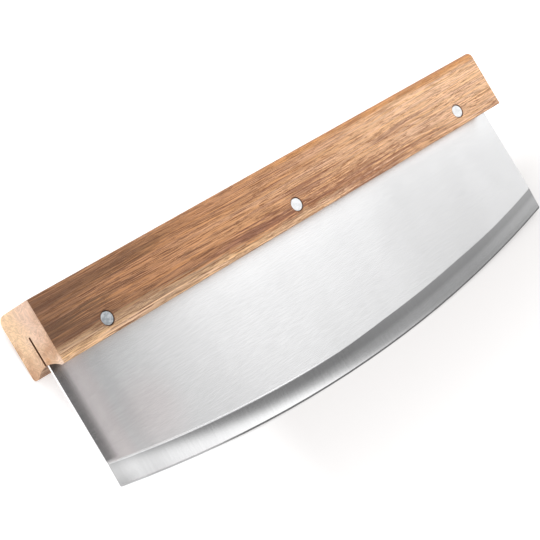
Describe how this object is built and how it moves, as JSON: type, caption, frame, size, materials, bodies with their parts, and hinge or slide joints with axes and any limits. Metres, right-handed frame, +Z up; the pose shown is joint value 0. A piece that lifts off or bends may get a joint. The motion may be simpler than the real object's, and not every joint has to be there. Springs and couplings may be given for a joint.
{
  "type": "rocking pizza knife",
  "caption": "Rocking pizza knife with a long curved steel blade held in a slotted wooden bar by cutler's rivets.",
  "frame": {"origin": "on the table, under the middle of the knife's outline as it lies on its side", "axes": "+X along the handle, +Y over the table from the cutting edge towards the spine of the handle, +Z up from the table"},
  "size_m": [0.355, 0.1156, 0.0347],
  "materials": {
    "wood": "oiled hardwood, satin, long open grain",
    "blade_steel": "brushed along the blade, hollow-ground band across the edge",
    "rivet_steel": "satin heads with a bright rim"
  },
  "bodies": {
    "root": {"handle": "wood", "blade": "blade_steel", "left_rivet_male": "rivet_steel", "left_rivet_female": "rivet_steel", "middle_rivet_male": "rivet_steel", "middle_rivet_female": "rivet_steel", "right_rivet_male": "rivet_steel", "right_rivet_female": "rivet_steel"}
  },
  "joints": []
}
